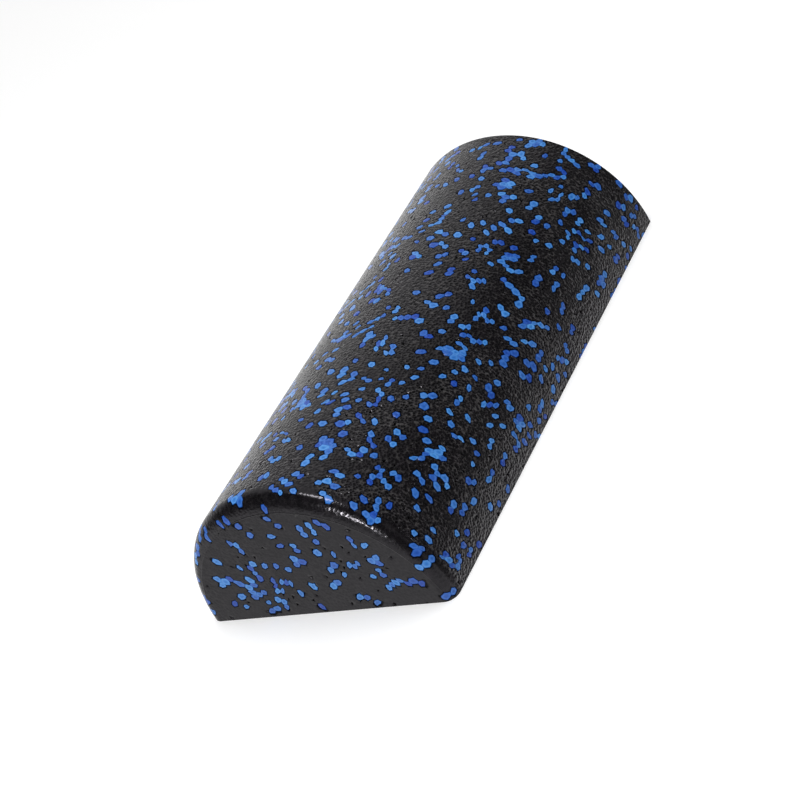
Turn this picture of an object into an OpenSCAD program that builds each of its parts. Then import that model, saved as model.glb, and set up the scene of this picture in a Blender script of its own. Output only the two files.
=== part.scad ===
// Half-round foam roller, moulded from expanded polypropylene (EPP) beads. Millimetres.
// A full roller is steam-moulded from black beads with a share of blue ones, so its curved
// side and its near end have a mould skin and a rounded rim. It is then sliced along its
// axis and cut to length, so the flat base and the far end are plain cut faces with sharp
// edges. Nothing is inside it. The blue beads sit flush in the black ones on every face.
// Axis along Y, near (moulded) end at -Y, base on z = 0.

/* [Roller] */
// Length along the axis
roller_l = 304.8; // [100:0.1:920]
// Diameter of the round roller that is sliced, and so the width of the base
roller_d = 152.4; // [90:0.1:160]
// Radius of the moulded rim round the near end
rim_r = 6.5; // [4:0.5:9]

/* [Beads] */
// Distance between the centres of neighbouring beads
bead_pitch = 3.85; // [3.8:0.05:9]
// How far a bead strays from its even place, as a share of the pitch
bead_stray = 0.24; // [0:0.01:0.25]
// How far whole rows of beads sway, as a share of the pitch
bead_drift = 0.45; // [0:0.05:0.5]
// How much larger or smaller than its even share a bead may be
bead_swell = 0.15; // [0:0.01:0.2]
// Share of the beads that are blue
blue_share = 0.195; // [0.02:0.005:0.25]
// Radius of the face that a bead shows
bead_face_r = 1.95; // [1.2:0.05:2.1]
// How far a bead reaches below the surface
bead_depth = 3.2; // [2.5:0.1:4]
// Least wall of black foam between two blue beads, and beside an edge
bead_wall = 0.15; // [0.1:0.05:0.4]

/* [Hidden] */

roller_r = roller_d / 2;
near_y = -roller_l / 2;
far_y = roller_l / 2;
flat_r = roller_r - rim_r;                        // the flat of the near end
crown_v = roller_l - rim_r;                       // where the crown meets the rim
skin_v = crown_v + rim_r * PI / 2;                // where the rim meets the near end's flat
rim_depth = rim_r / 4;                            // beads on the rim lean together, so stay short
least_r = 0.9;                                    // smaller blue faces are left out
proud = 0.6;                                      // a bead's cutter stands this far out
bead_fn = 24;
round_fn = 180;

// The beads lie in a honeycomb. Its columns run round the crown and back across the base, and
// its rows run from the far end, over the rim, to the flat of the near end. Odd columns lie
// half a row on. The two ends have a honeycomb each, with columns across and rows up.
column_step = bead_pitch * sqrt(3) / 2;
crown_cols = 2 * round(PI * roller_r / column_step / 2 - 0.5) + 1;
base_cols = 2 * round(roller_d / column_step / 2 - 0.5) + 1;
all_cols = crown_cols + base_cols;
skin_rows = round(skin_v / bead_pitch);
end_cols = ceil(roller_r / column_step) + 1;
end_rows = ceil(roller_r / bead_pitch) + 1;
hold_rows = 5;                                    // the drift dies out over these at an edge

// Faces, as the first number that the scatter of their beads is drawn from
SKIN = 1;
NEAR = 3;
FAR = 4;

// A scatter that is the same every time: cubing mixes the whole numbers below a prime.
prime = 65537;
function cubed(n) = ((n * n) % prime) * n % prime;
function chance(face, col, row, draw) =
    cubed((cubed((face * 3571 + (wrapped(face, col) + 200) * 127 + (row + 200) * 9173) % prime)
        + draw * 20011) % prime) / prime;
function spread(face, col, row, draw) = 2 * chance(face, col, row, draw) - 1;
function is_blue(face, col, row) = chance(face, col, row, 3) < blue_share;

// Columns of the skin run right round it
function wrapped(face, col) = face == SKIN ? (col + all_cols) % all_cols : col;

// The drift: slow waves over the honeycomb, held at the skin's sharp edges and its ends
function wave(turns, per_row, start, u, w) = sin(360 * turns * u / all_cols + per_row * w + start);
function hold(face, room) = face == SKIN ? min(1, room / hold_rows) : 1;
function drift(face, u, w) = bead_drift * [
    hold(face, min(u, all_cols - u, abs(u - crown_cols)))
        * (wave(7, 11, 77 * face, u, w) + wave(-3, 26, 200, u, w)),
    hold(face, min(w, skin_rows - w))
        * (wave(6, -17, 77 * face, u, w) + wave(9, 7, 120, u, w))];

// A bead's place in the honeycomb, in columns and rows
function place(face, col, row) =
    let (w = row + (abs(col) % 2) / 2)
    [col, w] + drift(face, wrapped(face, col), w)
        + bead_stray * [spread(face, col, row, 1), spread(face, col, row, 2)];

// The two rings of places round a bead, as columns and rows
function neighbours(col, row) =
    let (up = abs(col) % 2)
    [[col, row - 1], [col, row + 1], [col - 2, row], [col + 2, row],
     for (side = [-1, 1], step = [-2 : 1]) [col + side, row + step + up]];

// Distance in millimetres between two places of the honeycomb
function apart(a, b) = norm([(a[0] - b[0]) * column_step, (a[1] - b[1]) * bead_pitch]);

// A blue bead fills its place, but leaves a wall of black foam to each blue neighbour. close is
// how much nearer together beads lie at their bottoms than at their faces.
function face_r(face, col, row, close = 1) =
    let (here = place(face, col, row))
    min([bead_face_r * (1 + bead_swell * spread(face, col, row, 6)),
         for (n = neighbours(col, row)) if (is_blue(face, n[0], n[1]))
             (close * apart(here, place(face, n[0], n[1])) - bead_wall) / 2 * 0.97]);

// The room of one bead, its shown face up and standing proud, for the outline to trim flush
module bead(r, depth = bead_depth) {
    translate([0, 0, -depth]) cylinder(r = r, h = depth + proud, $fn = bead_fn);
}

// The angle round the crown, from the base's +X edge, and the distance v from the far end
// give a point of the skin. Past crown_v the skin turns round the rim.
module on_skin(angle, v) {
    turn = v > crown_v ? (v - crown_v) / rim_r * 180 / PI : 0;
    rotate([0, -angle, 0])
        translate([flat_r, far_y - min(v, crown_v), 0])
            rotate([turn, 90, 0])
                translate([0, 0, rim_r])
                    children();
}

// Every whole blue bead of the crown, or of the rim
module skin_beads(on_rim) {
    for (col = [1 : crown_cols - 1], row = [0 : skin_rows])
        if (is_blue(SKIN, col, row)) {
            here = place(SKIN, col, row);
            v = here[1] * skin_v / skin_rows;
            r = face_r(SKIN, col, row, on_rim ? 1 - rim_depth / rim_r : 1);
            room = r + bead_wall;
            to_base = min(here[0], crown_cols - here[0]) * column_step;
            if (r > least_r && to_base > room && v > room && v < skin_v - room
                && on_rim == (v > crown_v - bead_face_r))
                on_skin(here[0] * 180 / crown_cols, v) bead(r, on_rim ? rim_depth : bead_depth);
        }
}

// Every whole blue bead of a half-round end, drawn in the XY plane with the base at y = 0. They
// stay clear of the beads that reach in from the skin and the base.
module end_beads(face, end_r) {
    for (col = [-end_cols : end_cols], row = [-1 : end_rows])
        if (is_blue(face, col, row)) {
            here = place(face, col, row);
            spot = [here[0] * column_step, here[1] * bead_pitch];
            r = face_r(face, col, row);
            room = r + bead_wall + bead_depth;
            if (r > least_r && norm(spot) < min(end_r, roller_r - room + r) - r && spot[1] > room)
                translate(spot) bead(r);
        }
}

// The roller's outline, with every bead still in it
module envelope() {
    intersection() {
        rotate([90, 0, 0])
            rotate_extrude($fn = round_fn) {
                translate([0, near_y]) square([flat_r, roller_l]);
                translate([flat_r, near_y]) square([rim_r, crown_v]);
                intersection() {
                    translate([flat_r, -near_y - rim_r]) circle(rim_r, $fn = round_fn / 3);
                    translate([flat_r, -near_y - rim_r]) square(rim_r);
                }
            }
        translate([-roller_d, -roller_l, 0]) cube([2 * roller_d, 2 * roller_l, roller_d]);
    }
}

module crown_cutters() skin_beads(false);

module rim_cutters() skin_beads(true);

module near_cutters() translate([0, near_y, 0]) rotate([90, 0, 0]) end_beads(NEAR, flat_r - 1.2);

module far_cutters() translate([0, far_y, 0]) rotate([90, 0, 0]) mirror([0, 0, 1]) end_beads(FAR, roller_r);

// The base's columns follow on from the crown's. Its rows are even in the middle and bend to
// meet the crown's rows at the two long edges.
module base_cutters() {
    for (col = [crown_cols + 1 : all_cols - 1], row = [0 : skin_rows])
        if (is_blue(SKIN, col, row)) {
            here = place(SKIN, col, row);
            across = 2 * (here[0] - crown_cols) / base_cols - 1;
            bend = pow(across, 6);
            x = across * roller_r;
            y = far_y - here[1] * ((1 - bend) * roller_l + bend * skin_v) / skin_rows;
            r = face_r(SKIN, col, row);
            room = r + bead_wall;
            on_flat = y > near_y + rim_r + room || abs(x) < flat_r - room;
            if (r > least_r && abs(x) < roller_r - room - bead_depth && abs(y) < far_y - room && on_flat)
                translate([x, y, 0]) mirror([0, 0, 1]) bead(r);
        }
}

module roller_body() color("#1a191c") difference() {
    envelope();
    crown_cutters();
    rim_cutters();
    near_cutters();
    far_cutters();
    base_cutters();
}

module blue_beads_crown() color("#2361b4") intersection() { envelope(); crown_cutters(); }

module blue_beads_rim() color("#2361b4") intersection() { envelope(); rim_cutters(); }

module blue_beads_near_end() color("#2361b4") intersection() { envelope(); near_cutters(); }

module blue_beads_far_end() color("#2361b4") intersection() { envelope(); far_cutters(); }

module blue_beads_base() color("#2361b4") intersection() { envelope(); base_cutters(); }

roller_body();
blue_beads_crown();
blue_beads_rim();
blue_beads_near_end();
blue_beads_far_end();
blue_beads_base();
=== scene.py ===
import math

import bpy
import numpy as np
from mathutils import Matrix, Vector
from mathutils.bvhtree import BVHTree
from mathutils.geometry import delaunay_2d_cdt


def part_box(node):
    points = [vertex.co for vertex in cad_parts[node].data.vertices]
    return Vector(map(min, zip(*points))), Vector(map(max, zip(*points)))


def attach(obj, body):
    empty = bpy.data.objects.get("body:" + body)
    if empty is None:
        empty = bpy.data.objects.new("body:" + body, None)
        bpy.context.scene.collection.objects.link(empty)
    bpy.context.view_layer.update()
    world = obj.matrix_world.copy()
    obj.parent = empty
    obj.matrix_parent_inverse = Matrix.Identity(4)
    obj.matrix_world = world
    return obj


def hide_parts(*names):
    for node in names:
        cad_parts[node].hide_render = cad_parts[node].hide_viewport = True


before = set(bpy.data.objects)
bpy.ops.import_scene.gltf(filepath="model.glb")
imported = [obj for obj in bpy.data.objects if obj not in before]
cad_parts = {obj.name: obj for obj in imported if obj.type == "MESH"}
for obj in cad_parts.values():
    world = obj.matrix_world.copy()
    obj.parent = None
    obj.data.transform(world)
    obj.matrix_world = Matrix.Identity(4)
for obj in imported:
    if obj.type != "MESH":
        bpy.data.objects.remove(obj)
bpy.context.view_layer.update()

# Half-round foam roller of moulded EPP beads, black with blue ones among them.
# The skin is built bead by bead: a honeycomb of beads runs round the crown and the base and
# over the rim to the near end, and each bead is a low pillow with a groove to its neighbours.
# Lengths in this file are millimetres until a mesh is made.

MM = 0.001

# ---------------------------------------------------------------- sizes, from the frame
body_low, body_high = (np.array(corner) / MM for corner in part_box("roller_body"))
ROLLER_R = body_high[0]
ROLLER_L = body_high[1] - body_low[1]
NEAR_Y, FAR_Y = body_low[1], body_high[1]
RIM_R = 6.5                                  # radius of the moulded rim, as in part.scad
FLAT_R = ROLLER_R - RIM_R                    # the near end's flat
CROWN_V = ROLLER_L - RIM_R                   # the crown's length, up to the rim
SKIN_V = CROWN_V + RIM_R * math.pi / 2       # the same, on over the rim
EDGE_R, EDGE_DROP = 73.0, 7.0                # the witness circle round the near end's flat
RIM_TILT = math.radians(12)                  # the rim's slant where it leaves the flat, at its widest

# ---------------------------------------------------------------- the photograph's points
# Where each of these shows in the photograph, in pixels from its top left corner. They are the only
# pixel coordinates in this file.
W = H = 800
POINTS = {
    "outline_left": (193.5, 555),
    "outline_right": (649.5, 223),
    "outline_top": (512, 136),
    "outline_bottom": (218, 620.5),
    "base_corner_far_right": (649.5, 223),
    "base_corner_near_left": (219.5, 620.5),
    "base_corner_near_right": (445, 601),
    "witness_circle_left": (267.4, 511.6),
    "witness_circle_top": (287, 513.7),
    "witness_circle_right": (437, 585),
}

# ---------------------------------------------------------------- camera
# Fitted to the roller's outline in the photograph: metres, degrees, and millimetres of lens.
CAM_TARGET = (0.01076, -0.03688, 0.0381)
CAM_AZIMUTH, CAM_ELEVATION, CAM_ROLL = 41.05, 28.07, -31.09
CAM_DISTANCE = 1.1094
CAM_LENS = 96.6
CAM_CLIP = (0.05, 20)


def make_camera():
    """Aims at CAM_TARGET from the azimuth and elevation, then turns about the line of sight."""
    a, e = math.radians(CAM_AZIMUTH), math.radians(CAM_ELEVATION)
    back = Vector((math.sin(a) * math.cos(e), -math.cos(a) * math.cos(e), math.sin(e)))
    data = bpy.data.cameras.new("camera")
    data.sensor_fit = "AUTO"
    data.lens = CAM_LENS
    data.clip_start, data.clip_end = CAM_CLIP
    camera = bpy.data.objects.new("camera", data)
    aim = (-back).to_track_quat("-Z", "Y")
    camera.rotation_mode = "QUATERNION"
    camera.rotation_quaternion = aim @ Matrix.Rotation(math.radians(CAM_ROLL), 3, "Z").to_quaternion()
    camera.location = Vector(CAM_TARGET) + back * CAM_DISTANCE
    bpy.context.collection.objects.link(camera)
    bpy.context.scene.camera = camera
    return camera


# ---------------------------------------------------------------- the honeycomb of beads
BEAD_PITCH = 3.85                            # from bead to bead in a column
COLUMN_STEP = BEAD_PITCH * math.sqrt(3) / 2
BEAD_STRAY, BEAD_DRIFT = 0.24, 0.45          # of a step, a bead's own stray and the honeycomb's slow sway
BEAD_SWELL = 0.15                            # of its size, how far a bead grows into its neighbours
CORNER_STRAY, MIDDLE_STRAY = 0.07, 0.7       # of a step for corners, and of that for the sides' middles
BLUE_SHARE = 0.195
CROWN_COLS, BASE_COLS, SKIN_ROWS = 71, 45, 80
ALL_COLS = CROWN_COLS + BASE_COLS
HOLD = 5                                     # columns or rows over which the sway dies out at an edge
BEND = 6                                     # the higher, the nearer to the edges the base's rows bend

# Honeycombs, and a bead's draws: its two strays, whether it is blue, its dent, its tone, its swell
SKIN, NEAR, FAR = 1, 3, 4
STRAY_U, STRAY_W, COLOUR_DRAW, DENT_DRAW, TONE_DRAW, SWELL_DRAW = 1, 2, 3, 4, 5, 6
# Added to the honeycomb's number for draws of corners, of the sides' middles and of grooves
CORNER_DRAW, MIDDLE_DRAW, GROOVE_DRAW = 5, 6, 7
# The scatter's prime, what one face, column, row or draw adds, and what keeps places above zero
PRIME = 65537
FACE_ADDS, COL_ADDS, ROW_ADDS, DRAW_ADDS = 3571, 127, 9173, 20011
ABOVE_ZERO = 200


def cubed(n):
    """The cube below PRIME, which gives each whole number there another one."""
    return (n * n % PRIME) * n % PRIME


def chance(face, col, row, draw):
    """A scatter from 0 to 1 that is the same in part.scad: cubing mixes the whole numbers below a prime."""
    col, row = np.asarray(col, np.int64) + ABOVE_ZERO, np.asarray(row, np.int64) + ABOVE_ZERO
    place = cubed((face * FACE_ADDS + col * COL_ADDS + row * ROW_ADDS) % PRIME)
    return cubed(place + draw * DRAW_ADDS) / PRIME


def spread(face, col, row, draw):
    """The same scatter from -1 to 1."""
    return 2 * chance(face, col, row, draw) - 1


# A bead's border, as offsets from its centre in thirds of a column and halves of a row: six
# corners, each the middle of three beads, with a middle between each two of them.
CORNERS = np.array([(1, -1), (2, 0), (1, 1), (-1, 1), (-2, 0), (-1, -1)])
NEIGHBOURS = np.array([(0, -2), (1, -1), (1, 1), (0, 2), (-1, 1), (-1, -1)])   # columns, half rows

# The sway's waves, as turns round the section, degrees in each row, degrees at the start, and what
# the honeycomb's number is worth in degrees. They are the same in part.scad.
SWAY_U = ((7, 11, 0, 77), (-3, 26, 200, 0))
SWAY_W = ((6, -17, 0, 77), (9, 7, 120, 0))


def sway(waves, face, u, w):
    """The sum of the waves over a honeycomb, at the column u and the row w."""
    total = 0
    for turns, per_row, start, per_face in waves:
        degrees = 360 * turns * u / ALL_COLS + per_row * w + (start + per_face * face)
        total = total + np.sin(np.radians(degrees))
    return total


def drift(face, u, w):
    """A slow sway of the honeycomb, so that its rows never run straight. On the skin it dies out
    across the sharp edges and at the two ends, over HOLD columns or rows."""
    sway_u, sway_w = sway(SWAY_U, face, u, w), sway(SWAY_W, face, u, w)
    if face == SKIN:
        to_edge = np.minimum(np.minimum(u, ALL_COLS - u), np.abs(u - CROWN_COLS))
        sway_u = sway_u * np.clip(to_edge / HOLD, 0, 1)
        sway_w = sway_w * np.clip(np.minimum(w, SKIN_ROWS - w) / HOLD, 0, 1)
    return BEAD_DRIFT * sway_u, BEAD_DRIFT * sway_w


def bead_centre(face, col, half_row, snap):
    """Centre in columns and rows: its even place, swayed, strayed by its two draws, and then snapped."""
    wrapped = col % ALL_COLS if face == SKIN else col
    row = (half_row - np.abs(col) % 2) // 2
    sway_u, sway_w = drift(face, wrapped, half_row / 2)
    u = col + sway_u + BEAD_STRAY * spread(face, wrapped, row, STRAY_U)
    w = half_row / 2 + sway_w + BEAD_STRAY * spread(face, wrapped, row, STRAY_W)
    return snap(np.stack([u, w], -1), col * 3.0, half_row * 1.0)


def bead_swell(face, col, half_row):
    """How much larger than its even share a bead is, at its corners."""
    wrapped = col % ALL_COLS if face == SKIN else col
    return BEAD_SWELL * spread(face, wrapped, (half_row - np.abs(col) % 2) // 2, SWELL_DRAW)[:, None]


def bead_outline(face, col, half_row, snap):
    """Centre, then the 12 border points of each bead: corners are the mean of three bead centres,
    and middles the mean of two corners, each strayed a little by draws on its own place."""
    centre = bead_centre(face, col, half_row, snap)
    around = [bead_centre(face, col + dc, half_row + dr, snap) for dc, dr in NEIGHBOURS]
    swell = bead_swell(face, col, half_row)
    swell_around = [bead_swell(face, col + dc, half_row + dr) for dc, dr in NEIGHBOURS]
    period = 3 * ALL_COLS if face == SKIN else 10 ** 6
    border, keys = [], []
    corners, corner_keys = [], []
    for k, (du, dw) in enumerate(CORNERS):
        key_u, key_w = 3 * col + du, half_row + dw
        n = (k + 1) % 6
        point = (centre + around[k] + around[n]) / 3
        point = point + (swell * (point - centre) + swell_around[k] * (point - around[k])
                         + swell_around[n] * (point - around[n]))
        stray = [spread(face + CORNER_DRAW, key_u % period, key_w, draw) for draw in (STRAY_U, STRAY_W)]
        corners.append(point + CORNER_STRAY * np.stack(stray, -1))
        corner_keys.append((key_u, key_w))
    for k in range(6):
        a, b = corner_keys[k], corner_keys[(k + 1) % 6]
        border.append(snap(corners[k], a[0] * 1.0, a[1] * 1.0))
        keys.append((2 * a[0], 2 * a[1]))
        key_u, key_w = a[0] + b[0], a[1] + b[1]
        stray = [spread(face + MIDDLE_DRAW, key_u % (2 * period), key_w, draw)
                 for draw in (STRAY_U, STRAY_W)]
        middle = (corners[k] + corners[(k + 1) % 6]) / 2
        middle = middle + CORNER_STRAY * MIDDLE_STRAY * np.stack(stray, -1)
        border.append(snap(middle, key_u / 2, key_w / 2))
        keys.append((key_u, key_w))
    keys = [(key_u % (2 * period), key_w) for key_u, key_w in keys]
    return centre, np.stack(border, 1), np.stack([np.stack(k, -1) for k in keys], 1)


# ---------------------------------------------------------------- the skin and the base
def snap_skin(point, thirds, halves):
    """Points whose even place is on a sharp edge or the last row stay exactly on it."""
    u, w = point[..., 0], point[..., 1]
    for edge in (0, CROWN_COLS, ALL_COLS):
        u = np.where(thirds == 3 * edge, edge, u)
    for end in (0, SKIN_ROWS):
        w = np.where(halves == 2 * end, end, w)
    return np.stack([u, w], -1)


def rim_shape(angle):
    """The rim's width and the tilt at which it leaves the near flat. The flat's edge lies on the
    witness circle, EDGE_R about a point EDGE_DROP below the axis, but never past FLAT_R, so that the
    rim is widest at the top and RIM_R wide at the base's corners."""
    edge = np.sqrt(EDGE_R ** 2 - (EDGE_DROP * np.cos(angle)) ** 2) - EDGE_DROP * np.sin(angle)
    width = ROLLER_R - np.minimum(edge, FLAT_R)
    return width, RIM_TILT * (width - RIM_R) / (FLAT_R + EDGE_DROP - EDGE_R)


def meridian(v, angle):
    """Radius, y and the normal's radial and forward parts at the distance v from the far end:
    straight, then an elliptical arc round the rim, RIM_R deep and as wide as the rim, that turns
    from upright to the tilt at the flat's edge."""
    width, tilt = rim_shape(angle)
    steep = math.pi / 2 - np.clip(v - CROWN_V, 0, None) / RIM_R * (1 - tilt / (math.pi / 2))
    radius = ROLLER_R - width * (1 - np.sin(steep)) / (1 - np.sin(tilt))
    y = np.where(v < CROWN_V, FAR_Y - v, NEAR_Y + RIM_R * (1 - np.cos(steep) / np.cos(tilt)))
    outward, forward = RIM_R * np.sin(steep) / np.cos(tilt), width * np.cos(steep) / (1 - np.sin(tilt))
    size = np.hypot(outward, forward)
    return radius, y, outward / size, forward / size


def skin_point(place):
    """Places in columns and rows to points and normals. Columns 0 to CROWN_COLS run round the
    crown; the rest run back across the base, whose rows bend to meet the crown's at the edges."""
    u, w = place[..., 0] % ALL_COLS, place[..., 1]
    angle = np.minimum(u, CROWN_COLS) * math.pi / CROWN_COLS
    radius, y, outward, forward = meridian(w * SKIN_V / SKIN_ROWS, angle)
    crown = np.stack([radius * np.cos(angle), y, radius * np.sin(angle)], -1)
    crown_normal = np.stack([outward * np.cos(angle), -forward, outward * np.sin(angle)], -1)
    across = 2 * (u - CROWN_COLS) / BASE_COLS - 1
    bend = across ** BEND
    even_y = FAR_Y - w * ROLLER_L / SKIN_ROWS
    base = np.stack([across * radius, (1 - bend) * even_y + bend * y, 0 * u], -1)
    on_crown = (u <= CROWN_COLS)[..., None]
    return np.where(on_crown, crown, base), np.where(on_crown, crown_normal, [0.0, 0.0, -1.0])


def end_point(y_plane, outward):
    """The same for a flat end: columns across x and rows up z."""
    def place_to_point(place):
        x, z = place[..., 0] * COLUMN_STEP, place[..., 1] * BEAD_PITCH
        return np.stack([x, 0 * x + y_plane, z], -1), np.zeros(x.shape + (3,)) + [0.0, outward, 0.0]
    return place_to_point


# A bead's nodes: 0 its middle, 1 to 12 a ring, 13 to 24 its border, 25 the floor of its socket
BORDER, FLOOR, NODES = slice(13, 25), 25, 26
RING = 0.7                                   # how far out the ring is
# Depths below the surface, and the share of them that is left on the rim and on the cut flats
GROOVE, GROOVE_MORE, CORNER_DIP = 0.03, 0.05, 0.03   # at least, by a draw, and more at corners
PIT, PIT_SHARE = 1.3, 0.045                  # an open pit, and the share of the corners that have one
DENT, BLUE_DENT = 0.04, 0.06                 # span of depths of black and of blue beads' middles
PROUD, SUNK = 0.35, 0.4                      # of it, how far black ones may rise, and blue ones do sink
RIM_RELIEF, FLAT_RELIEF = 0.4, 0.3
SOCKET, SEAT_GAP = 2.4, 0.1                  # a blue bead's socket, and the gap under the bead
# Rim values, which the materials read: the ring, a border between black beads, between blue ones and
# between black and blue, and a pit. A bead's middle has 0. The materials paint by them: painted shade near
# black in a pit and in the seam between black and blue, and on blue beads a painted highlight at the ring.
ON_RING, ON_BORDER, BETWEEN_BLUE, BESIDE_BLUE, IN_PIT = 0.25, 0.3, 0.48, 0.8, 1.0
RIM_VALUES = np.concatenate([[0.0], np.full(12, ON_RING), np.full(13, ON_BORDER)])


def comb(cols, half_rows):
    """The columns and half rows of a honeycomb's beads: every second place of the grid."""
    col, half_row = (a.ravel() for a in np.meshgrid(cols, half_rows, indexing="ij"))
    in_comb = (col + half_row) % 2 == 0
    return col[in_comb], half_row[in_comb]


def groove_depth(face, keys, relief):
    """Depth of the border points: an uneven groove, deeper at the corners, of which a few are open pits."""
    uneven, pit = (chance(face + GROOVE_DRAW, keys[..., 0], keys[..., 1], draw) for draw in (1, 2))
    is_corner = np.arange(keys.shape[1]) % 2 == 0
    is_pit = is_corner & (pit < PIT_SHARE) & (relief != RIM_RELIEF)
    groove = relief * (GROOVE + GROOVE_MORE * uneven + CORNER_DIP * is_corner)
    return np.where(is_pit, PIT, groove), is_pit


class Beads:
    """The beads of one face: their nodes and normals, and each bead's colour, tone and rim values."""

    def __init__(self, face, col, half_row, snap, to_point, relief, flush, colours):
        row = (half_row - np.abs(col) % 2) // 2
        centre, border, keys = bead_outline(face, col, half_row, snap)
        middle = snap(border.mean(1), col * 3.0, half_row * 1.0)[:, None]
        self.places = np.concatenate([middle, middle + RING * (border - middle), border, middle], 1)
        point, self.normals = to_point(self.places)
        self.is_blue = colours & (chance(face, col, row, COLOUR_DRAW) < BLUE_SHARE)
        self.tones = chance(face, col, row, TONE_DRAW)
        share = relief(self.places)
        dent = chance(face, col, row, DENT_DRAW)
        dent = np.where(self.is_blue, BLUE_DENT * (SUNK + dent), DENT * (dent - PROUD))
        depth = np.zeros(self.places.shape[:2])
        depth[:, 0] = share[:, 0] * dent
        depth[:, BORDER], pits = groove_depth(face, keys, share[:, BORDER])
        depth[flush(self.places)] = 0
        depth[:, FLOOR] = SOCKET
        self.nodes = point - self.normals * depth[..., None]
        self.rims = np.tile(RIM_VALUES, (len(col), 1))
        self.rims[:, BORDER][pits] = IN_PIT
        self.turn = 1 if self.normals[0, 0, 1] <= 0 else -1   # faces run the other way on the far end

    def outline_blue(self, rows):
        """Rim values of the blue beads in rows, which the materials paint as shade: dark beside a black
        bead, hardly so beside a blue one.
        """
        is_plug = np.isin(np.arange(len(self.nodes)), rows)
        border, rims = self.nodes[:, BORDER], self.rims[is_plug, BORDER]
        by_black = lie_on(border[is_plug].reshape(-1, 3), border[~is_plug].reshape(-1, 3)).reshape(-1, 12)
        value = np.where(by_black, BESIDE_BLUE, BETWEEN_BLUE)
        self.rims[is_plug, BORDER] = np.where(rims == ON_BORDER, value, rims)


def fan():
    """12 triangles from the centre to the border."""
    return [(0, 13 + k, 13 + (k + 1) % 12) for k in range(12)]


def pillow():
    """24 triangles: a fan to the ring's six corners, then out to the border."""
    faces = []
    for k in range(0, 12, 2):
        ring, next_ring = 1 + k, 1 + (k + 2) % 12
        corner, middle, next_corner = 13 + k, 14 + k, 13 + (k + 2) % 12
        faces += [(0, ring, next_ring), (ring, corner, middle), (ring, middle, next_ring),
                  (next_ring, middle, next_corner)]
    return faces


def full_pillow():
    """36 triangles, with an edge from the centre to each border point, for beads that an edge folds."""
    faces = []
    for k in range(12):
        n = (k + 1) % 12
        faces += [(0, 1 + k, 1 + n), (1 + k, 13 + k, 13 + n), (1 + k, 13 + n, 1 + n)]
    return faces


FAN, PILLOW, FULL = (np.array(f()) for f in (fan, pillow, full_pillow))
SOCKET_FAN = np.where(FAN == 0, FLOOR, FAN)
_corner_offsets = np.array(CORNERS, float)
_side_offsets = (_corner_offsets + np.roll(_corner_offsets, -1, 0)) / 2
_border_offsets = np.stack([_corner_offsets, _side_offsets], 1).reshape(12, 2)
NODE_OFFSETS = np.concatenate([[[0, 0]], RING * _border_offsets, _border_offsets, [[0, 0]]])


def flat_ids(faces, rows):
    """Node numbers over all beads, for the beads in rows."""
    return (faces[None] + NODES * np.asarray(rows)[:, None, None]).reshape(-1, 3)


class Shell:
    """Triangles gathered for one piece, with a tone for each triangle and a rim value for each node."""

    def __init__(self):
        self.points, self.faces, self.tones, self.rims, self.count = [], [], [], [], 0

    def add(self, points, faces, tones, rims):
        self.points.append(points)
        self.faces.append(faces + self.count)
        self.tones.append(tones)
        self.rims.append(rims)
        self.count += len(points)

    def arrays(self):
        return (np.concatenate(self.points), np.concatenate(self.faces), np.concatenate(self.tones),
                np.concatenate(self.rims))


black, blue = Shell(), {name: Shell() for name in ("crown", "rim", "near_end", "far_end", "base")}


DIGITS, BAND_DIGITS = 6, 5                   # nodes whose millimetres agree to these decimals are one


def weld(points, faces):
    """Joins nodes at the same place and drops what nothing uses."""
    used = np.unique(faces)
    rounded = np.round(points[used], DIGITS)
    _, first, where = np.unique(rounded, axis=0, return_index=True, return_inverse=True)
    number = np.zeros(len(points), np.int64)
    number[used] = where.ravel()
    return used[first], number[faces]


def lie_on(points, others):
    """Which points are at the same place as one of the others."""
    _, number = np.unique(np.round(np.concatenate([others, points]), DIGITS), axis=0, return_inverse=True)
    number = number.ravel()
    return np.isin(number[len(others):], number[:len(others)])


SHARP = math.radians(62)                     # edges that fold more than this aren't shaded smooth


def make_piece(name, shell, node, material):
    """A mesh object in metres from a shell's triangles, riding on the root body."""
    points, faces, tones, rims = shell.arrays()
    keep, faces = weld(points, faces)
    points, rims = points[keep], rims[keep]
    # black border nodes beside a blue bead take BESIDE_BLUE, which the material paints near black: a ring of
    # painted shade round each blue bead
    blue_points = np.concatenate([s.arrays()[0] for s in blue.values()])
    rims = np.where((rims == ON_BORDER) & lie_on(points, blue_points), BESIDE_BLUE, rims)
    points = points * MM
    mesh = bpy.data.meshes.new(name)
    mesh.vertices.add(len(points))
    mesh.vertices.foreach_set("co", points.astype(np.float32).ravel())
    mesh.loops.add(faces.size)
    mesh.loops.foreach_set("vertex_index", faces.astype(np.int32).ravel())
    mesh.polygons.add(len(faces))
    mesh.polygons.foreach_set("loop_start", np.arange(0, faces.size, 3, dtype=np.int32))
    mesh.update(calc_edges=True)
    mesh.attributes.new("bead_tone", "FLOAT", "FACE").data.foreach_set("value", tones.astype(np.float32))
    mesh.attributes.new("bead_rim", "FLOAT", "POINT").data.foreach_set("value", rims.astype(np.float32))
    mesh.polygons.foreach_set("use_smooth", np.ones(len(faces), bool))
    mesh.set_sharp_from_angle(angle=SHARP)
    mesh.materials.append(material)
    piece = bpy.data.objects.new(name, mesh)
    bpy.context.collection.objects.link(piece)
    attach(piece, "root")
    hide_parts(node)
    return piece


def add_tops(shell, beads, faces, rows):
    """The shown faces of the beads in rows."""
    if len(rows):
        shell.add(beads.nodes[rows].reshape(-1, 3), flat_ids(faces[:, ::beads.turn], np.arange(len(rows))),
                  np.repeat(beads.tones[rows], len(faces)), beads.rims[rows].ravel())


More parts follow.
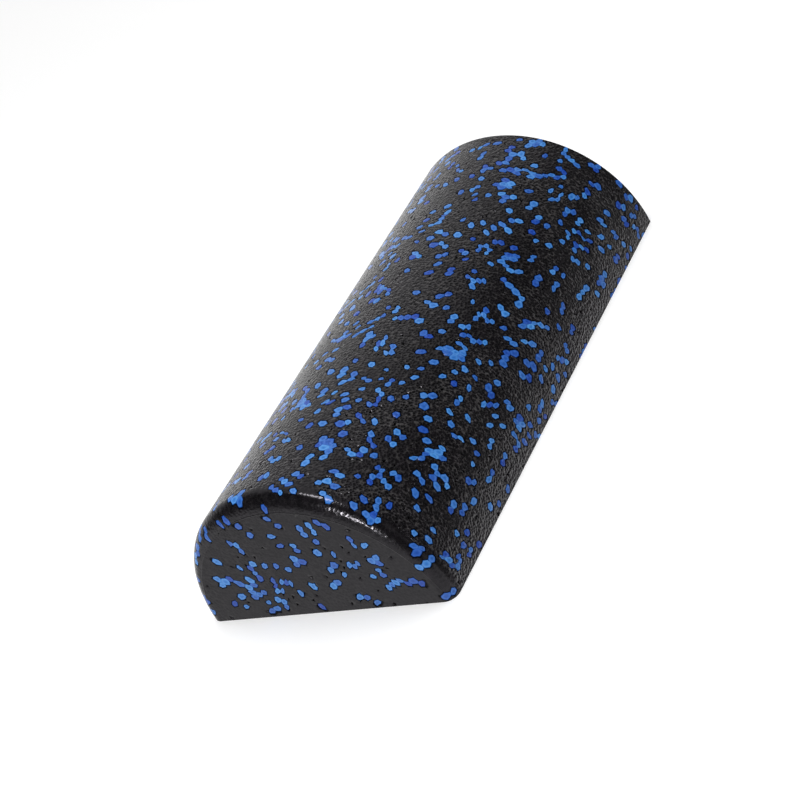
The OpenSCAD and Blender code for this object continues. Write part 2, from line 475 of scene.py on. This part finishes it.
def add_plugs(shell, beads, faces, rows):
    """Whole closed beads: the shown face, and an underside that tapers to just above the socket's floor."""
    if len(rows):
        plug = beads.nodes[rows].copy()
        plug[:, FLOOR] += SEAT_GAP * beads.normals[rows, FLOOR]
        closed = np.concatenate([faces, SOCKET_FAN[:, ::-1]])[:, ::beads.turn]
        shell.add(plug.reshape(-1, 3), flat_ids(closed, np.arange(len(rows))),
                  np.repeat(beads.tones[rows], len(closed)), beads.rims[rows].ravel())


def add_cut_tops(shell, beads, faces, rows, side):
    """Half beads: only the triangles on one side of the last row, side being +1 above it."""
    keep = side * NODE_OFFSETS[faces][..., 1].sum(1) > 0
    add_tops(shell, beads, faces[keep], rows)


RIM_REACH = 2.2                              # beads with a middle this near to the rim are the rim's
LEAN = math.sqrt(0.5)                        # of a normal halfway between the base's and the crown's


def build_skin():
    """The crown, rim and base: ALL_COLS columns of beads round the section, SKIN_ROWS rows along it."""
    col, half_row = comb(np.arange(ALL_COLS), np.arange(2 * SKIN_ROWS + 1))

    def relief(places):
        on_rim = places[..., 1] * SKIN_V / SKIN_ROWS > CROWN_V
        on_base = places[..., 0] % ALL_COLS > CROWN_COLS
        return np.where(on_base, FLAT_RELIEF, np.where(on_rim, RIM_RELIEF, 1.0))

    def flush(places):
        u, w = places[..., 0] % ALL_COLS, places[..., 1]
        return (u == 0) | (u == CROWN_COLS) | (w == 0) | ((w == SKIN_ROWS) & (u > CROWN_COLS))

    half = (half_row == 0) | (half_row == 2 * SKIN_ROWS)
    beads = Beads(SKIN, col, half_row, snap_skin, skin_point, relief, flush, ~half)
    folded = (col == 0) | (col == CROWN_COLS)
    # the socket under a folded bead leans in from both faces
    lean = np.zeros_like(beads.normals[:, FLOOR])
    lean[:, 0] = np.where(col == 0, 1, -1) * LEAN
    lean[:, 2] = -LEAN
    beads.normals[folded, FLOOR] = lean[folded]
    beads.nodes[folded, FLOOR] = (beads.nodes[:, 0] - SOCKET * lean)[folded]
    v = beads.places[:, 0, 1] * SKIN_V / SKIN_ROWS
    group = np.where(col > CROWN_COLS, "base", np.where(v > CROWN_V - RIM_REACH, "rim", "crown"))
    beads.outline_blue(np.flatnonzero(beads.is_blue))
    whole_black = ~half & ~beads.is_blue
    plain = ~folded & (group == "base")   # the base is so flat that its black beads need no ring
    add_tops(black, beads, FAN, np.flatnonzero(plain & whole_black))
    for faces, kind in ((PILLOW, ~folded), (FULL, folded)):
        add_tops(black, beads, faces, np.flatnonzero(kind & ~plain & whole_black))
        add_tops(black, beads, SOCKET_FAN, np.flatnonzero(kind & beads.is_blue))
        add_cut_tops(black, beads, faces, np.flatnonzero(kind & (half_row == 0)), 1)
        add_cut_tops(black, beads, faces, np.flatnonzero(kind & (half_row == 2 * SKIN_ROWS)), -1)
        for name, shell in blue.items():
            add_plugs(shell, beads, faces, np.flatnonzero(kind & beads.is_blue & (group == name)))


SPARE_COLS, SPARE_ROWS, ROWS_BELOW = 3, 5, 4   # beads of an end's honeycomb past its edges
# Millimetres inside an end's edge: whole beads, the middles of cut ones, and nodes of the band
WHOLE_IN, MIDDLE_IN, BAND_IN = 0.7, 0.9, 0.55
LOOP_REACH = 1.5                             # how far from an end's plane the hole's rim may be
BAND_TONE = 0.5                              # tone of the cut beads
CDT_NEAR, SLIVER = 1e-6, 1e-7                # mm at which nodes are one, and twice the least area in mm2


def open_loop(y):
    """The rim of the hole in the black shell at y: its nodes, and its edges as pairs of them."""
    points, faces, _, _ = black.arrays()
    keep, faces = weld(points, faces)
    points = points[keep]
    edges = np.sort(np.concatenate([faces[:, [0, 1]], faces[:, [1, 2]], faces[:, [2, 0]]]), 1)
    pairs, uses = np.unique(edges, axis=0, return_counts=True)
    pairs = pairs[uses == 1]
    pairs = pairs[np.abs(points[pairs[:, 0], 1] - y) < LOOP_REACH]
    nodes, numbered = np.unique(pairs, return_inverse=True)
    return points[nodes], numbered.reshape(pairs.shape)


def build_end(face, y, outward, radius, group):
    """A half-round end: whole beads of its own honeycomb, and round them a band of cut ones. The
    radius is a function of the angle."""
    cols = int(ROLLER_R / COLUMN_STEP) + SPARE_COLS
    half_rows = int(2 * ROLLER_R / BEAD_PITCH) + SPARE_ROWS
    col, half_row = comb(np.arange(-cols, cols + 1), np.arange(-ROWS_BELOW, half_rows))

    def inside(points, margin):
        x, z = points[..., 0], points[..., 2]
        return (np.hypot(x, z) < radius(np.arctan2(z, x)) - margin) & (z > margin)

    beads = Beads(face, col, half_row, lambda p, a, b: p, end_point(y, outward),
                  lambda p: np.full(p.shape[:-1], FLAT_RELIEF), lambda p: np.zeros(p.shape[:-1], bool), True)
    whole = inside(beads.nodes[:, BORDER], WHOLE_IN).all(1)
    part = ~whole & inside(beads.nodes[:, 0], MIDDLE_IN)
    blues = np.flatnonzero(whole & beads.is_blue)
    beads.outline_blue(blues)
    add_tops(black, beads, PILLOW, np.flatnonzero(whole & ~beads.is_blue))
    add_tops(black, beads, SOCKET_FAN, blues)
    add_plugs(blue[group], beads, PILLOW, blues)
    add_band(beads, whole, part, y, inside)


def add_band(beads, whole, part, y, inside):
    """Between an end's whole beads and its edge, the beads that the edge cuts, joined to the edge's
    own nodes by a constrained triangulation."""
    loop, loop_edges = open_loop(y)
    points, edges, wholes = [loop], [loop_edges], []
    count = len(loop)
    for i in np.flatnonzero(whole | part):
        border = beads.nodes[i, BORDER]
        ok = inside(border, BAND_IN)
        points.append(border)
        ring = count + np.arange(12)
        pairs = np.stack([ring, np.roll(ring, -1)], 1)
        edges.append(pairs[ok & np.roll(ok, -1)])
        if whole[i]:
            wholes.append(list(ring))
        count += 12
    points.append(beads.nodes[part, 0])
    points = np.concatenate(points)
    allowed = (np.arange(len(points)) < len(loop)) | inside(points, BAND_IN)
    rounded = np.round(points, BAND_DIGITS)
    _, first, number = np.unique(rounded, axis=0, return_index=True, return_inverse=True)
    number = number.ravel()
    merged = points[first]
    kept = np.zeros(len(merged), bool)
    kept[number[allowed]] = True
    new = np.cumsum(kept) - 1
    merged = merged[kept]
    edges = np.unique(np.sort(new[number[np.concatenate(edges)]], 1), axis=0)
    wholes = [[int(new[number[n]]) for n in ring] for ring in wholes]
    found = delaunay_2d_cdt([Vector((p[0], p[2])) for p in merged], [tuple(map(int, e)) for e in edges],
                            wholes, 0, CDT_NEAR, True)
    _, _, tris, from_verts, _, from_faces = found
    source = [src[0] if src else -1 for src in from_verts]
    assert min(source) >= 0, "the end's triangulation made a node of its own"
    band = np.array([[source[n] for n in tri] for tri, src in zip(tris, from_faces) if not src])
    a, b, c = (merged[band[:, k]][:, [0, 2]] for k in range(3))
    area = (b - a)[:, 0] * (c - a)[:, 1] - (b - a)[:, 1] * (c - a)[:, 0]
    band = np.where((area * beads.turn > 0)[:, None], band, band[:, ::-1])
    band = band[np.abs(area) > SLIVER]
    black.add(merged, band, np.full(len(band), BAND_TONE), np.full(len(merged), ON_BORDER))


# ---------------------------------------------------------------- materials
# Lengths in mm. The ridge of the witness line, and how softly the matt flat begins at it
WITNESS_H, WITNESS_W, FLAT_BLUR = 0.09, 0.5, 0.3
NEAR_DEPTH, FAR_DEPTH = 1.5, 0.3             # how deep the near and the far end count as flat
CELL = 1.45                                  # the foam's cells, whose walls make the skin's grain
# Patches in which the grain is stronger or weaker: their size, and the grain by the noise
PATCH, PATCH_NOISE, PATCH_GRAIN = 35.0, (0.35, 0.65), (0.65, 1.2)
END_GRAIN, END_FADE = 0.18, (-1, 5)          # share of it left on ends and rim, and where it comes back
# Shares of a cell between which its crests take painted glints and its hollows painted shade, and the colour
# of that painted shade
CREST, HOLLOW, HOLLOW_SHADE = (0.5, 0.95), (0.5, 0.15), "#020202"
# Rim values between which the painted crest glints return in a bead's middle, and over which its gloss goes
# at the border, as painted shade in the seam
MIDDLE, GLOSS_SPAN, GLOSS = (0.55, 0.33), (0.33, 0.6), (0.5, 0.08)
GLOSS_TINT = "#faf6ff"                       # the sheen is faintly violet


def to_linear(hex_code):
    """sRGB hex to linear RGBA."""
    parts = [int(hex_code[i:i + 2], 16) / 255 for i in (1, 3, 5)]
    return tuple(c / 12.92 if c <= 0.04045 else ((c + 0.055) / 1.055) ** 2.4 for c in parts) + (1.0,)


def add_node(tree, kind, settings=None, links=None):
    """A node with its settings, and its inputs set to values or linked to (node, output) pairs."""
    node = tree.nodes.new(kind)
    for key, value in (settings or {}).items():
        setattr(node, key, value)
    for key, value in (links or {}).items():
        if isinstance(value, tuple) and hasattr(value[0], "outputs"):
            tree.links.new(value[0].outputs[value[1]], node.inputs[key])
        else:
            node.inputs[key].default_value = value
    return node


# These give (node, output) pairs, which are what links take.
def calc(tree, operation, *values):
    """One sum on the values."""
    return add_node(tree, "ShaderNodeMath", {"operation": operation}, dict(enumerate(values))), 0


def scaled(tree, value, factor, plus=0.0):
    """value * factor + plus"""
    return calc(tree, "MULTIPLY_ADD", value, factor, plus)


def eased(tree, value, span, result=(0.0, 1.0), kind="SMOOTHSTEP"):
    """From the first to the second of result, as value goes over the span."""
    return add_node(tree, "ShaderNodeMapRange", {"interpolation_type": kind},
                    {"Value": value, "From Min": span[0], "From Max": span[1],
                     "To Min": result[0], "To Max": result[1]}), 0


def mixed(tree, share, colour, other):
    """A colour that is the other one by the share."""
    return add_node(tree, "ShaderNodeMix", {"data_type": "RGBA"}, {0: share, 6: colour, 7: other}), 2


def colour_ramp(tree, value, shades):
    """Colours by position, as a list of (position, sRGB hex)."""
    ramp = add_node(tree, "ShaderNodeValToRGB", None, {0: value})
    stops = ramp.color_ramp.elements
    while len(stops) < len(shades):
        stops.new(0.5)
    for stop, (position, shade) in zip(stops, shades):
        stop.position, stop.color = position, to_linear(shade)
    return ramp, 0


def flat_mask(tree, place):
    """1 on the far end and on the near end within the witness circle, 0 on the moulded skin. Also how
    far inside the circle a place is, and 1 at the near end."""
    at = add_node(tree, "ShaderNodeSeparateXYZ", None, {0: place})
    across = add_node(tree, "ShaderNodeCombineXYZ", None,
                      {0: (at, "X"), 2: scaled(tree, (at, "Z"), 1.0, EDGE_DROP * MM)})
    radius = add_node(tree, "ShaderNodeVectorMath", {"operation": "LENGTH"}, {0: (across, 0)})
    inside = scaled(tree, (radius, "Value"), -1.0, EDGE_R * MM)
    in_edge = eased(tree, inside, (-FLAT_BLUR * MM, FLAT_BLUR * MM), kind="LINEAR")
    near = calc(tree, "LESS_THAN", (at, "Y"), (NEAR_Y + NEAR_DEPTH) * MM)
    on_near = calc(tree, "MULTIPLY", in_edge, near)
    on_far = calc(tree, "GREATER_THAN", (at, "Y"), (FAR_Y - FAR_DEPTH) * MM)
    return calc(tree, "MAXIMUM", on_near, on_far), inside, near


def grain_and_glint_strength(tree, place, flat):
    """How strong the grain is, its relief and its painted crest glints and hollow shade alike: full on the
    crown, in patches, and weak on the rim and the ends.
    """
    at = add_node(tree, "ShaderNodeSeparateXYZ", None, {0: place})
    fade = [(NEAR_Y + RIM_R + behind) * MM for behind in END_FADE]
    behind_rim = eased(tree, (at, "Y"), fade, (END_GRAIN, 1.0))
    off_flat = scaled(tree, flat, END_GRAIN - 1, 1.0)
    patches = add_node(tree, "ShaderNodeTexNoise", None,
                       {"Vector": place, "Scale": 1 / (PATCH * MM), "Detail": 1.0})
    patchy = eased(tree, (patches, "Fac"), PATCH_NOISE, PATCH_GRAIN)
    return calc(tree, "MULTIPLY", patchy, calc(tree, "MINIMUM", behind_rim, off_flat))


def bead_foam(name, dark_bead, light_bead, crest_glint_colour, crest_glint_share, hollow, skin_roughness, flat_roughness, wrinkles):
    """Steam-moulded bead foam. dark_bead and light_bead are the colours of the darkest and the lightest
    beads by rim value, with painted shade in seams and pits, and each bead is mixed from them by its own
    tone.
    The next argument is the colour of the painted glints on the grain's crests, and the one after it their
    share;
    hollow is how dark the painted shade in the hollows is, and wrinkles is the relief in mm."""
    material = bpy.data.materials.new(name)
    material.use_nodes = True
    tree = material.node_tree
    shader = tree.nodes["Principled BSDF"]
    place = (add_node(tree, "ShaderNodeTexCoord"), "Object")
    flat, inside, near = flat_mask(tree, place)
    coarse = grain_and_glint_strength(tree, place, flat)
    tone = (add_node(tree, "ShaderNodeAttribute", {"attribute_name": "bead_tone"}), "Fac")
    border = (add_node(tree, "ShaderNodeAttribute", {"attribute_name": "bead_rim"}), "Fac")
    cells = add_node(tree, "ShaderNodeTexVoronoi", None, {"Vector": place, "Scale": 1 / (CELL * MM)})
    grain = (cells, "Distance")

    # colour: the bead's own, with painted glints on crests but not at its border, and painted shade near
    # black in hollows
    colour = mixed(tree, tone, colour_ramp(tree, border, dark_bead), colour_ramp(tree, border, light_bead))
    in_middle = calc(tree, "MULTIPLY", eased(tree, grain, CREST, (0.0, crest_glint_share)), eased(tree, border, MIDDLE))
    crests = calc(tree, "MULTIPLY", in_middle, coarse)
    hollows = calc(tree, "MULTIPLY", eased(tree, grain, HOLLOW, (0.0, hollow)), coarse)
    crested = mixed(tree, crests, colour, to_linear(crest_glint_colour))
    glint_and_shade_colour, out = mixed(tree, hollows, crested, to_linear(HOLLOW_SHADE))
    tree.links.new(glint_and_shade_colour.outputs[out], shader.inputs["Base Color"])

    # gloss: a dull sheen, turned down as painted shade in the grooves between beads and in the grain's
    # hollows
    off_seam, off_hollow = eased(tree, border, GLOSS_SPAN, GLOSS), scaled(tree, hollows, -1.0, 1.0)
    gloss, out = calc(tree, "MULTIPLY", off_seam, off_hollow)
    tree.links.new(gloss.outputs[out], shader.inputs["Specular IOR Level"])
    shader.inputs["Specular Tint"].default_value = to_linear(GLOSS_TINT)
    roughness, out = scaled(tree, flat, flat_roughness - skin_roughness, skin_roughness)
    tree.links.new(roughness.outputs[out], shader.inputs["Roughness"])

    # relief too fine for the mesh: the grain, and the witness line's ridge on the near end
    from_edge = calc(tree, "ABSOLUTE", inside)
    ridge = calc(tree, "MULTIPLY", eased(tree, from_edge, (0.0, WITNESS_W * MM), (1.0, 0.0)), near)
    height = scaled(tree, calc(tree, "MULTIPLY", grain, coarse), wrinkles * MM,
                    scaled(tree, ridge, WITNESS_H * MM))
    bump = add_node(tree, "ShaderNodeBump", None, {"Strength": 1.0, "Distance": 1.0, "Height": height})
    tree.links.new(bump.outputs["Normal"], shader.inputs["Normal"])
    return material


# ---------------------------------------------------------------- studio
FLOOR_HALF = 6.0                             # metres
FLOOR_COLOUR, FLOOR_ROUGHNESS, FLOOR_GLOW = "#fbfbfb", 0.9, 0.13


def build_floor():
    """Plain pale paper, lit a little from below as a light table is, so that it stays white far out.
    Reflections don't show it: the photograph's roller mirrors a dim room low down, not a white floor."""
    h = FLOOR_HALF
    mesh = bpy.data.meshes.new("floor")
    mesh.from_pydata([(-h, -h, 0), (h, -h, 0), (h, h, 0), (-h, h, 0)], [], [(0, 1, 2, 3)])
    floor = bpy.data.objects.new("floor", mesh)
    bpy.context.collection.objects.link(floor)
    floor.visible_glossy = False
    material = bpy.data.materials.new("pale_studio_floor")
    material.use_nodes = True
    paper = material.node_tree.nodes["Principled BSDF"].inputs
    paper["Base Color"].default_value = to_linear(FLOOR_COLOUR)
    paper["Roughness"].default_value = FLOOR_ROUGHNESS
    paper["Emission Color"].default_value = to_linear("#ffffff")
    paper["Emission Strength"].default_value = FLOOR_GLOW
    mesh.materials.append(material)


# Directions are unit vectors in the part's axes, x right, -y toward the near end, z up. Pairs are the
# cosines or the heights between which the room's radiance changes.
DARK_CORNER, CORNER_SPAN = (0.71, 0.67, 0.21), (0.95, 0.44)
BEHIND_SPAN = (-0.45, 0.15)                  # y: no wall in front, pale ones beside and behind
BELOW_SPAN, BELOW_SHARE = (0.0, -0.25), 0.56   # z: stands for the floor in reflections
HIGH_SPAN = (-0.05, 0.38)                    # z: from STUDIO_PALE low down to STUDIO_HIGH overhead
STUDIO_PALE, STUDIO_HIGH, STUDIO_DARK = 1.22, 0.49, 0.05


def build_studio():
    """The room by direction: dark in front, dark within 18 degrees of DARK_CORNER and pale from 64 on,
    and dimmer higher up. The camera itself sees plain white past the floor's edge, like the
    photograph's backdrop, so low views have a pale one too."""
    world = bpy.data.worlds.new("studio")
    world.use_nodes = True
    tree = world.node_tree
    toward = (add_node(tree, "ShaderNodeTexCoord"), "Generated")
    at = add_node(tree, "ShaderNodeSeparateXYZ", None, {0: toward})
    corner = add_node(tree, "ShaderNodeVectorMath", {"operation": "DOT_PRODUCT"},
                      {0: toward, 1: DARK_CORNER})
    off_corner = eased(tree, (corner, "Value"), CORNER_SPAN)
    behind = eased(tree, (at, "Y"), BEHIND_SPAN)
    below = eased(tree, (at, "Z"), BELOW_SPAN, (0.0, BELOW_SHARE))
    pale = calc(tree, "MULTIPLY", off_corner, calc(tree, "MAXIMUM", behind, below))
    high = eased(tree, (at, "Z"), HIGH_SPAN, (STUDIO_PALE - STUDIO_DARK, STUDIO_HIGH - STUDIO_DARK))
    strength = calc(tree, "MULTIPLY_ADD", pale, high, STUDIO_DARK)
    seen = (add_node(tree, "ShaderNodeLightPath"), "Is Camera Ray")
    shown, out = calc(tree, "MAXIMUM", strength, seen)
    background = tree.nodes["Background"]
    background.inputs["Color"].default_value = (1, 1, 1, 1)
    tree.links.new(shown.outputs[out], background.inputs["Strength"])
    bpy.context.scene.world = world


def softbox(name, toward, distance, size, radiance):
    """A rectangular light in the direction toward from the roller, facing it. Its power is
    radiance times pi times its area."""
    data = bpy.data.lights.new(name, "AREA")
    data.shape = "RECTANGLE"
    data.size, data.size_y = size
    data.energy = radiance * math.pi * size[0] * size[1]
    light = bpy.data.objects.new(name, data)
    direction = Vector(toward).normalized()
    light.location = direction * distance
    light.rotation_euler = (-direction).to_track_quat("-Z", "Y").to_euler()
    light.visible_camera = False
    bpy.context.collection.objects.link(light)


FILL_WIDTH = math.radians(70)


def fill_light(toward, irradiance):
    """Even light from a wide part of the sky, which whitens the floor and leaves no reflection."""
    data = bpy.data.lights.new("fill", "SUN")
    data.energy, data.angle = irradiance, FILL_WIDTH
    light = bpy.data.objects.new("fill", data)
    light.rotation_euler = (-Vector(toward)).to_track_quat("-Z", "Y").to_euler()
    light.visible_glossy = False
    bpy.context.collection.objects.link(light)


# ---------------------------------------------------------------- where things show in the picture
SEARCH, SEARCH_STEP = 250, 2                 # mm either side of the target, for rays that miss
CLEARANCE = 0.5                              # mm of surface that may lie before a node that shows


class Picture:
    """The photograph's frame: which way its points look, and where places show in it."""

    def __init__(self, camera):
        data = camera.data
        self.size = max(W, H)
        self.depth = self.size * data.lens / data.sensor_width
        self.shift = (data.shift_x * self.size, data.shift_y * self.size)
        self.to_world = camera.matrix_world.copy()
        self.from_world = self.to_world.inverted()
        self.eye = self.to_world.translation

    def image_points(self, places):
        """An array of places to an array of image points."""
        turn = np.array(self.from_world)
        at = places @ turn[:3, :3].T + turn[:3, 3]
        across = self.depth * at[:, 0] / -at[:, 2] - self.shift[0]
        up = self.depth * at[:, 1] / -at[:, 2] - self.shift[1]
        return np.stack([W / 2 + across, H / 2 - up], -1)

    def on_surface(self, point, tree):
        """The place on the surface that an image point shows; a miss takes the place nearest the ray."""
        ray = Vector((point[0] - W / 2 + self.shift[0], H / 2 - point[1] + self.shift[1], -self.depth))
        along = (self.to_world.to_3x3() @ ray).normalized()
        place = tree.ray_cast(self.eye, along)[0]
        if place is None:
            reach = range(-SEARCH, SEARCH + 1, SEARCH_STEP)
            steps = [self.eye + along * (CAM_DISTANCE + step * MM) for step in reach]
            place = min((tree.find_nearest(step) for step in steps), key=lambda found: found[3])[0]
        return place

    def shows(self, place, tree):
        """Whether nothing hides the place."""
        toward = Vector(place) - self.eye
        return tree.ray_cast(self.eye, toward.normalized(), toward.length - CLEARANCE * MM)[0] is None


def write_points(camera, pieces):
    picture = Picture(camera)
    places, faces = [], []
    for piece in pieces:
        co = np.empty(len(piece.data.vertices) * 3, np.float32)
        piece.data.vertices.foreach_get("co", co)
        turn = np.array(piece.matrix_world)
        corners = np.empty(len(piece.data.loops), np.int32)
        piece.data.loops.foreach_get("vertex_index", corners)
        faces.append(corners.reshape(-1, 3) + sum(map(len, places)))
        places.append(co.reshape(-1, 3) @ turn[:3, :3].T + turn[:3, 3])
    places, faces = np.concatenate(places), np.concatenate(faces)
    tree = BVHTree.FromPolygons(places.tolist(), faces.tolist())
    shown = picture.image_points(places)

    def first_shown(order):
        return shown[next(i for i in order if picture.shows(places[i], tree))]

    def at_corner(x, y):
        return first_shown(np.argsort(np.linalg.norm(places - np.array([x, y, 0]) * MM, axis=1)))

    def on_witness_circle(point):
        place = np.array(picture.on_surface(point, tree))
        centre = np.array([0, NEAR_Y, -EDGE_DROP]) * MM
        out = (place - centre) * [1, 0, 1]
        return picture.image_points((centre + EDGE_R * MM * out / np.linalg.norm(out))[None])[0]

    found = {
        "outline_left": first_shown(np.argsort(shown[:, 0])),
        "outline_right": first_shown(np.argsort(-shown[:, 0])),
        "outline_top": first_shown(np.argsort(shown[:, 1])),
        "outline_bottom": first_shown(np.argsort(-shown[:, 1])),
        "base_corner_far_right": at_corner(ROLLER_R, FAR_Y),
        "base_corner_near_left": at_corner(-FLAT_R, NEAR_Y),
        "base_corner_near_right": at_corner(FLAT_R, NEAR_Y),
    }
    for name in ("witness_circle_left", "witness_circle_top", "witness_circle_right"):
        found[name] = on_witness_circle(POINTS[name])


# ---------------------------------------------------------------- the scene
camera = make_camera()
build_skin()
build_end(NEAR, NEAR_Y, -1.0, lambda angle: ROLLER_R - rim_shape(angle)[0], "near_end")
build_end(FAR, FAR_Y, 1.0, lambda angle: ROLLER_R, "far_end")

# Steam-moulded black EPP: near black with a dull sheen and a leather-like grain, whose crests show painted
# grey glints and whose hollows go dead black with painted shade. Its beads have fine dark seams, which come
# from their grooves and, next to blue beads and in pits, from painted shade. The ends are smoother and
# duller.
black_foam = bead_foam(
    "black_epp_bead_foam",
    dark_bead=[(0, "#08070a"), (0.31, "#080709"), (0.5, "#040305"), (0.6, "#010102")],
    light_bead=[(0, "#141215"), (0.31, "#121013"), (0.5, "#070608"), (0.6, "#010102")],
    crest_glint_colour="#6e6b6a", crest_glint_share=0.25, hollow=0.75, skin_roughness=0.22, flat_roughness=0.42, wrinkles=0.5)
# Steam-moulded blue EPP: clear mid blue, deep in one bead and pale in the next, with a painted highlight a
# little lighter toward the bead's edge and painted shade near black in the seam to the black beads. Its
# grain hardly shows.
blue_foam = bead_foam(
    "blue_epp_bead_foam",
    dark_bead=[(0, "#153a94"), (0.1, "#183f9e"), (0.26, "#1d4bae"), (0.48, "#1a45a0"),
               (0.62, "#0f2c70"), (0.73, "#06123a"), (0.8, "#020616")],
    light_bead=[(0, "#2b74c2"), (0.1, "#347dca"), (0.26, "#5797dc"), (0.48, "#4286ce"),
                (0.62, "#1a5296"), (0.73, "#08204a"), (0.8, "#02081a")],
    crest_glint_colour="#74a8e4", crest_glint_share=0.2, hollow=0.15, skin_roughness=0.24, flat_roughness=0.42, wrinkles=0.16)

pieces = [make_piece("foam_body", black, "roller_body", black_foam)]
for group, shell in blue.items():
    pieces.append(make_piece(f"blue_beads_of_{group}", shell, f"blue_beads_{group}",
                             blue_foam))

build_floor()
build_studio()
# The light from above, which also makes the first streak on the near rim; then the second streak's
# light, and a faint glint's to the right of it
softbox("overhead_softbox", (0.09, -0.25, 0.965), 1.5, (0.5, 0.2), 22)
softbox("front_strip", (0.05, -0.965, 0.235), 1.3, (0.12, 0.07), 150)
softbox("right_strip", (0.888, 0.416, 0.196), 1.4, (0.05, 0.08), 20)
fill_light((0.0, 0.2, 1.0), 1.7)

write_points(camera, pieces)

bpy.context.scene.view_settings.view_transform = "Standard"
